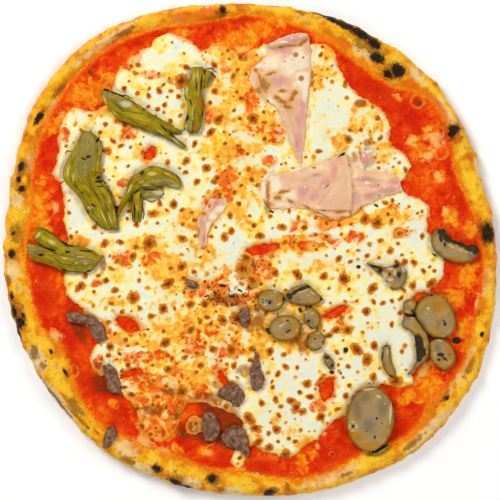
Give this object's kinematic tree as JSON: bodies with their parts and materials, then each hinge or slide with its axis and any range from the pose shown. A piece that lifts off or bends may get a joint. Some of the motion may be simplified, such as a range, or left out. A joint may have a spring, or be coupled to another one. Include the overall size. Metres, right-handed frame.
{
  "type": "four seasons pizza",
  "caption": "Whole uncut four seasons pizza: thin charred rim, tomato sauce and melted mozzarella under artichoke, ham, mushroom and anchovy. It lies flat.",
  "frame": {"origin": "centre of the pizza's bounding box, on the flat underside that it rests on", "axes": "+Z up through the thickness; +X right and +Y up as the pizza is seen from straight above"},
  "size_m": [0.3214, 0.3214, 0.0139],
  "materials": {
    "dough": "baked wheat dough, oiled yellow inside the rim, floury and spotted with char outside",
    "sauce": "wet crushed tomato with oil",
    "cheese": "melted mozzarella with brown blisters and oil",
    "artichoke": "cooked artichoke in oil, fibrous",
    "ham": "moist cooked ham, browned at the edges",
    "mushroom": "baked mushroom slices, wet, with dark gills",
    "anchovy": "oily anchovy fillet, grainy"
  },
  "bodies": {
    "root": {"crust": "dough", "tomato_sauce": "sauce", "mozzarella": "cheese", "mozzarella_drop_bottom": "cheese", "mozzarella_drop_left": "cheese", "artichoke_top_left": "artichoke", "artichoke_top": "artichoke", "artichoke_left": "artichoke", "artichoke_arched": "artichoke", "artichoke_lower_left": "artichoke", "ham_tall": "ham", "ham_wide": "ham", "ham_small_right": "ham", "ham_small_left": "ham", "mushroom_round_a": "mushroom", "mushroom_round_b": "mushroom", "mushroom_behind": "mushroom", "mushroom_chopped": "mushroom", "mushroom_large": "mushroom", "mushroom_small": "mushroom", "mushroom_cap": "mushroom", "mushroom_cap_side": "mushroom", "mushroom_banded": "mushroom", "mushroom_stem": "mushroom", "mushroom_under_cheese": "mushroom", "mushroom_dark_bit": "mushroom", "mushroom_gilled_right": "mushroom", "mushroom_gilled_left": "mushroom", "mushroom_dark_crescent": "mushroom", "anchovy_left_long": "anchovy", "anchovy_left_short": "anchovy", "anchovy_on_rim": "anchovy", "anchovy_middle": "anchovy", "anchovy_centre_low": "anchovy", "anchovy_centre": "anchovy", "anchovy_low_left": "anchovy", "anchovy_low_right": "anchovy", "anchovy_small": "anchovy"}
  },
  "joints": []
}
